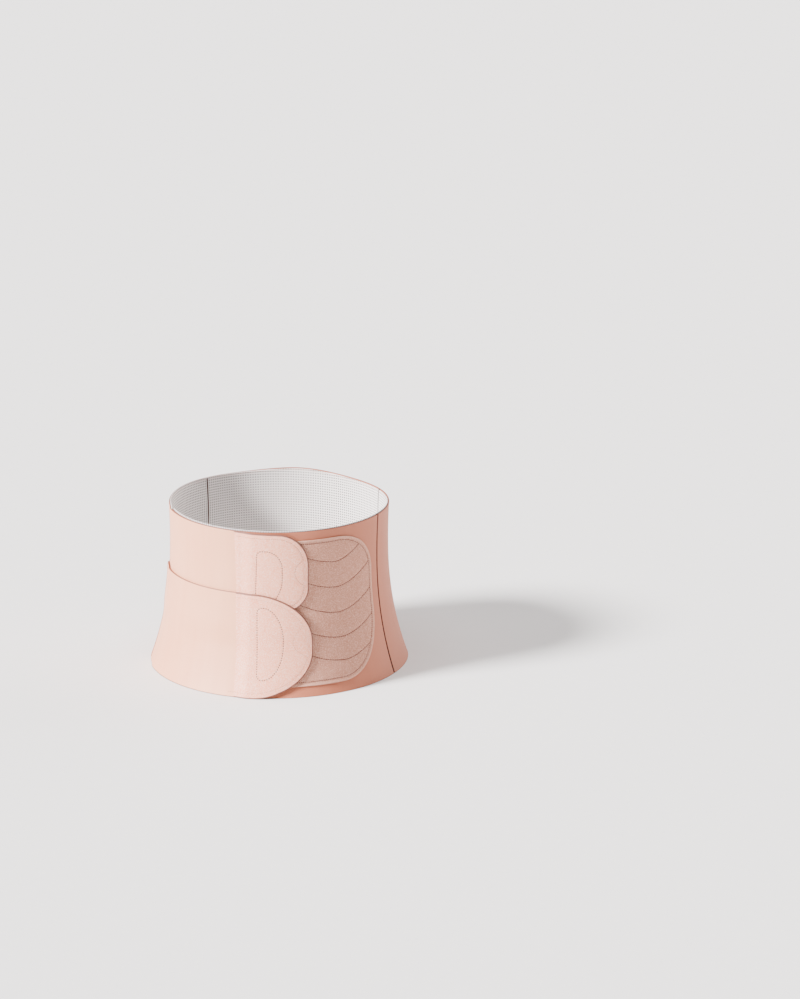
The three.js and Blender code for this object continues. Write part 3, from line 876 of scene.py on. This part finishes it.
def tab_ends():
    """The plush ends of the tabs: rounded tips that curl in at the free edge, a D-shaped
    stitch line round each hook pad, and a border line that bulges in round the pull."""
    left = PLUSH_JOINT_RIM

    def upper_top(angle):
        return fabric_top(angle) - UPPER_TIP_DROP * (angle - left) / (UPPER_TIP - left)

    upper = Patch(left, UPPER_TIP, UPPER_TAB_LOW, upper_top, UPPER_CORNER)
    lower = Patch(left, LOWER_TIP, 0.0, level(LOWER_TAB_HIGH), LOWER_CORNER)

    def lower_curl(height):
        return TAB_CURL * (1 - LAID_OVER_FLATTER * over_upper(height))

    both = (
        ("upper", upper, tab_inner, UPPER_D, UPPER_D_CORNER, UPPER_PULL, level(TAB_CURL),
         GREY_THREAD),
        ("lower", lower, lower_tab_inner, LOWER_D, LOWER_D_CORNER, LOWER_PULL, lower_curl,
         PALE_THREAD),
    )
    for name, patch, inner, place, corner, pull, amount, thread in both:
        loop = patch_outline(d_patch(place, corner))
        to_left = (place["right"] - loop[:, 0]) / (place["right"] - place["left"])
        to_foot = (place["top"] - loop[:, 1]) / (place["top"] - place["foot"])
        loop[:, 0] += place["lean"] * to_left * to_foot
        stitch_line = wall(loop[:, 0], loop[:, 1])
        free_edge = wall(*patch_outline(patch, left_side=False).T)

        def border(height):
            bulge = np.clip((height - pull["height"]) / pull["half"], -1, 1)
            return TAB_BORDER + pull["reach"] * (1 - bulge ** 2) ** PULL_ROUNDNESS

        line = patch_outline(patch, inset=border, left_side=False)
        line = line[line[:, 0] > left + PULL_START]
        line_points = wall(*line.T)

        def relief(angle, height, edge, flat):
            rise = smooth((angle - left) / DEGREES_PER_M, 0, PLUSH_RISE) - 1
            from_edge = near(flat, free_edge)
            lip = 1 - smooth(from_edge, TAB_LIP["width"] / 2, TAB_LIP["width"])
            stitch = np.exp(-(near(flat, stitch_line) / GROOVE_WIDTH) ** 2)
            pull_line = np.exp(-(near(flat, line_points) / GROOVE_WIDTH) ** 2)
            return ((PLUSH_END - FABRIC) * rise + TAB_LIP["rise"] * lip - D_GROOVE * stitch
                    - pull["groove"] * pull_line)

        def curl(angle, height, edge, flat):
            out = near(flat, free_edge)
            return amount(height) * (1 - smooth(out, 0, TAB_CURL_WIDTH))

        end = sheet(name + "_tab_plush", TAB_PLUSH, patch.angles, patch.low, patch.high,
                    inner, PLUSH_END, step=PAD_STEP, lean=joint_lean, relief=relief,
                    curl=curl, round_edge=TAB_EDGE, butt=0)
        finish(end, "tab_plush", name + "_tab_end")
        height = float(patch.top(np.array(left))) - patch.foot
        outer = inner(*loop.T) + PLUSH_END - STITCH_SUNK
        finish(threads(name + "_hook_stitches", BORDER_THREAD, *loop.T, outer, **D_STITCH),
               "seam")
        away = near(line_points, free_edge)
        curled = amount(line[:, 1]) * (1 - smooth(away, 0, TAB_CURL_WIDTH))
        outer = inner(*line.T) + PLUSH_END - PULL_STITCH_SUNK - curled
        finish(threads(name + "_pull_stitches", thread, *line.T, outer, **PULL_STITCH),
               "seam")


def hook_pads():
    """The two hook pads, hidden inside the tab ends."""
    rim_top = HEIGHT - LINING_SHOWS - UPPER_TIP_DROP
    both = (("upper_hook", hook_patch(UPPER_TIP, UPPER_TAB_LOW, rim_top), "upper_hook_pad"),
            ("lower_hook", hook_patch(LOWER_TIP, 0.0, LOWER_TAB_HIGH), "lower_hook_pad"))
    for name, patch, node in both:
        pad = sheet(name, HOOK_TAPE, patch.angles, patch.low, patch.high,
                    level(2 * LAY + LOOP_PAD - HOOK_BITE), HOOK_PAD, step=PANEL_STEP)
        finish(pad, "hook_tape", node)


def channel_height(number, angle):
    """Height of a channel at an angle: its lowest height, which grows by a power of its
    number, plus a power curve that rises on each side of the dip, steeper in the top
    channels and level past a limit at the left."""
    share = (number / (CHANNELS - 1)) ** CHANNEL_SPREAD
    lowest = CHANNEL_LOWEST + (CHANNEL_HIGHEST - CHANNEL_LOWEST) * share
    dip = CHANNEL_DIP + (CHANNEL_DIP_TOP - CHANNEL_DIP) * share
    left = np.maximum(0, dip - angle) / CHANNEL_LEFT["reach"]
    right = np.maximum(0, angle - dip) / CHANNEL_RIGHT["reach"]
    left = np.minimum(left, CHANNEL_LEFT["limit"])
    steep = CHANNEL_RIGHT["rise"] + CHANNEL_TOP_STEEPER * share ** CHANNEL_TOP_POWER
    return (lowest + CHANNEL_LEFT["rise"] * left ** CHANNEL_LEFT["power"]
            + steep * right ** CHANNEL_RIGHT["power"])


def loop_pad():
    """The loop pad: quilted between five curved channels and a border stitch."""
    patch = Patch(PAD_LEFT, PAD_RIGHT, PAD_BOTTOM, level(PAD_TOP), PAD_CORNER,
                  left_corner=HIDDEN_CORNER)
    border = patch_outline(patch, inset=level(PAD_BORDER))
    edge_points = wall(*patch_outline(patch).T)
    lines = []
    for number in range(CHANNELS):
        angle = np.linspace(PAD_LEFT + CHANNEL_ENDS["left"], PAD_RIGHT - CHANNEL_ENDS["right"],
                            CHANNEL_POINTS)
        height = channel_height(number, angle)
        inside = (height > patch.low(angle)) & (height < patch.high(angle))
        angle, height = angle[inside], height[inside]
        clear = near(wall(angle, height), edge_points) > PAD_BORDER
        lines.append((angle[clear], height[clear]))
    channel_points = np.concatenate([wall(a, h) for a, h in lines])

    def relief(angle, height, edge, flat):
        away = np.minimum(near(flat, channel_points), np.abs(edge - PAD_BORDER))
        puff = PAD_PUFF * smooth(away, 0, PAD_PUFF_REACH)
        return puff - CHANNEL_GROOVE * np.exp(-(away / GROOVE_WIDTH) ** 2)

    pad = sheet("loop_pile", LOOP_PLUSH, patch.angles, patch.low, patch.high,
                level(LAY), LOOP_PAD, step=PAD_STEP, relief=relief, round_edge=PAD_EDGE)
    finish(pad, "loop_pile", "loop_pad")
    lift = LAY + LOOP_PAD - STITCH_SUNK
    finish(threads("loop_pad_border_stitches", BORDER_THREAD, *border.T, lift,
                   **BORDER_STITCH), "seam")
    for number, (angle, height) in enumerate(lines):
        finish(threads(f"loop_pad_channel_{number + 1}", DARK_THREAD_AND_SEAM_SHADE, angle, height, lift,
                       **CHANNEL_STITCH), "seam")


def rim_stitches():
    """A row of salmon stitches inside the rim, where the outer fabric is turned in."""
    clear = RIM_STITCH_PLACE["from_seam"]
    angle = np.linspace(SEAMS["seam_right_front"] + clear, SEAMS["seam_left_front"] - clear,
                        RIM_POINTS)
    height = lining_top(angle) - RIM_STITCH_PLACE["below_rim"]
    lift = INNER_FACE - RIM_STITCH_PLACE["proud"]
    finish(threads("rim_stitches", SALMON_THREAD, angle, height, lift, **RIM_STITCH), "seam")


# Floor, light and camera

def floor():
    """A plain pale floor of painted board: matt, with a faint grain about 17 mm wide."""
    material, tree, surface = shader("matt_white_board", **{
        "Roughness": 0.9, "Specular IOR Level": 0.1})
    place = add(tree, "ShaderNodeTexCoord").outputs["Object"]
    grain = add(tree, "ShaderNodeTexNoise", {
        "Vector": place, "Scale": 1 / (16.7 * MM)}).outputs[0]
    tone = mix(tree, grain, colour("#e7e6e6"), colour("#e4e3e3"))
    tree.links.new(tone, surface.inputs["Base Color"])
    corners = FLOOR_REACH * np.array([[-1, -1, 0], [1, -1, 0], [1, 1, 0], [-1, 1, 0]])
    board = mesh_object("floor", corners, np.array([[0, 1, 2, 3]]), material)


def soft_light(name, turn, rise, strength, width, tint):
    """A distant soft light at a turn round the object and a rise above the floor, this
    wide in degrees, so that it lights the whole floor evenly."""
    data = bpy.data.lights.new(name, "SUN")
    data.energy, data.angle, data.color = strength, math.radians(width), colour(tint)[:3]
    lamp = bpy.data.objects.new(name, data)
    rise, turn = math.radians(rise), math.radians(turn)
    place = Vector((math.cos(turn) * math.cos(rise), math.sin(turn) * math.cos(rise),
                    math.sin(rise)))
    lamp.matrix_world = place.to_track_quat("Z", "Y").to_matrix().to_4x4()
    bpy.context.scene.collection.objects.link(lamp)


def lights():
    """A key light from the front left, a wide weak one overhead, a warm weak one from
    behind at the right, and a pale sky."""
    soft_light("key", turn=-144, rise=32, strength=15.6, width=14, tint="#fffbf9")
    soft_light("overhead", turn=-90, rise=85, strength=2.5, width=60, tint="#ffffff")
    soft_light("fill", turn=48, rise=15, strength=3.6, width=50, tint="#fff2ec")
    world = bpy.data.worlds.new("pale_sky")
    world.use_nodes = True
    sky = world.node_tree.nodes["Background"]
    sky.inputs["Color"].default_value = colour("#f8f7f7")
    sky.inputs["Strength"].default_value = SKY_STRENGTH
    bpy.context.scene.world = world


def camera():
    """The photograph's camera: its turn round the vertical, its tilt down and its roll."""
    data = bpy.data.cameras.new("camera")
    data.sensor_fit = "VERTICAL"
    data.sensor_height = SENSOR
    data.lens = FOCAL_PIXELS * SENSOR / FRAME_HEIGHT_PIXELS
    data.clip_end = 100
    eye = bpy.data.objects.new("camera", data)
    turn = Matrix.Rotation(math.radians(CAMERA_TURN), 4, "Z")
    tilt = Matrix.Rotation(math.radians(90 - CAMERA_TILT), 4, "X")
    roll = Matrix.Rotation(math.radians(CAMERA_ROLL), 4, "Z")
    eye.matrix_world = Matrix.Translation(CAMERA_PLACE) @ turn @ tilt @ roll
    bpy.context.scene.collection.objects.link(eye)
    bpy.context.scene.camera = eye


camera()
floor()
lights()
body_panels()
wing_lining()
seams()
tabs()
hook_pads()
tab_ends()
loop_pad()
rim_stitches()
